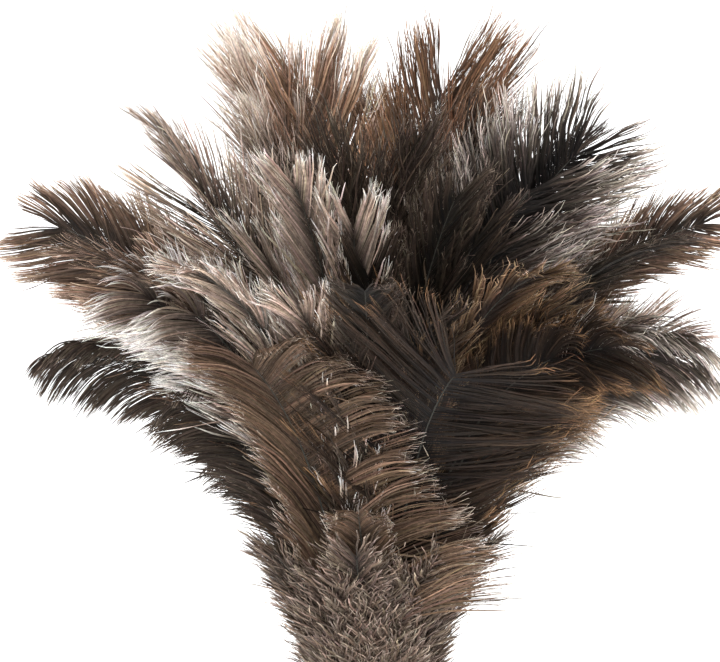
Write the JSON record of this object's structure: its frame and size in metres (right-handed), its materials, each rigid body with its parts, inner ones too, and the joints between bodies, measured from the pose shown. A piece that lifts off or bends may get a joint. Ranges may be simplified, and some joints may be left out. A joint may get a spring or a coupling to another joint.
{
  "type": "feather duster",
  "caption": "Hand duster with a full round head of curled ostrich plumes, a leather collar and a turned wooden handle with a hanging ring.",
  "frame": {"origin": "on the handle's axis, in the middle of the grip where a hand holds it", "axes": "+Z along the handle towards the head, +X to the right and -Y to the front of the head"},
  "size_m": [0.299, 0.285, 0.6215],
  "materials": {
    "handle_wood": "clear satin lacquer over turned wood",
    "collar_leather": "dark brown grained leather",
    "band_leather": "brown leather strip, burnished edges",
    "tack_brass": "polished, slightly aged",
    "binding_steel": "bright annealed wire",
    "eye_brass": "brass plated",
    "ring_steel": "polished nickel plate",
    "plume_dark": "near-black brown ostrich barbs with paler tips",
    "plume_brown": "mid brown ostrich barbs",
    "plume_grey": "grey-brown ostrich barbs",
    "plume_chestnut": "chestnut ostrich barbs with pale tips",
    "plume_rust": "rust-brown ostrich barbs with dark roots",
    "plume_cream": "grey-brown ostrich barbs with cream tips"
  },
  "bodies": {
    "duster": {"handle": "handle_wood", "collar": "collar_leather", "collar_band_upper": "band_leather", "collar_band_lower": "band_leather", "collar_tack_1": "tack_brass", "collar_tack_2": "tack_brass", "collar_tack_3": "tack_brass", "collar_tack_4": "tack_brass", "binding_wire_1": "binding_steel", "binding_wire_2": "binding_steel", "binding_wire_3": "binding_steel", "binding_wire_4": "binding_steel", "screw_eye": "eye_brass", "plume_core_01": "plume_dark", "plume_core_02": "plume_dark", "plume_core_03": "plume_rust", "plume_core_04": "plume_chestnut", "plume_core_05": "plume_grey", "plume_inner_01": "plume_cream", "plume_inner_02": "plume_dark", "plume_inner_03": "plume_cream", "plume_inner_04": "plume_dark", "plume_inner_05": "plume_rust", "plume_inner_06": "plume_chestnut", "plume_inner_07": "plume_grey", "plume_inner_08": "plume_grey", "plume_middle_01": "plume_dark", "plume_middle_02": "plume_dark", "plume_middle_03": "plume_dark", "plume_middle_04": "plume_rust", "plume_middle_05": "plume_grey", "plume_middle_06": "plume_dark", "plume_middle_07": "plume_cream", "plume_middle_08": "plume_rust", "plume_middle_09": "plume_dark", "plume_middle_10": "plume_grey", "plume_middle_11": "plume_grey", "plume_middle_12": "plume_cream", "plume_outer_01": "plume_rust", "plume_outer_02": "plume_brown", "plume_outer_03": "plume_brown", "plume_outer_04": "plume_dark", "plume_outer_05": "plume_grey", "plume_outer_06": "plume_brown", "plume_outer_07": "plume_dark", "plume_outer_08": "plume_chestnut", "plume_outer_09": "plume_grey", "plume_outer_10": "plume_brown", "plume_outer_11": "plume_dark", "plume_outer_12": "plume_cream", "plume_outer_13": "plume_brown", "plume_neck_01": "plume_grey", "plume_neck_02": "plume_grey", "plume_neck_03": "plume_brown", "plume_neck_04": "plume_grey", "plume_neck_05": "plume_grey", "plume_neck_06": "plume_brown", "plume_neck_07": "plume_grey", "plume_neck_08": "plume_grey"},
    "hang_ring": {"hang_ring": "ring_steel"}
  },
  "joints": [
    {"name": "ring_swing", "type": "hinge", "parent": "duster", "child": "hang_ring", "pos_m": [0, 0, -0.1184], "axis": [0, 1, 0], "range_deg": [-100, 100]}
  ]
}
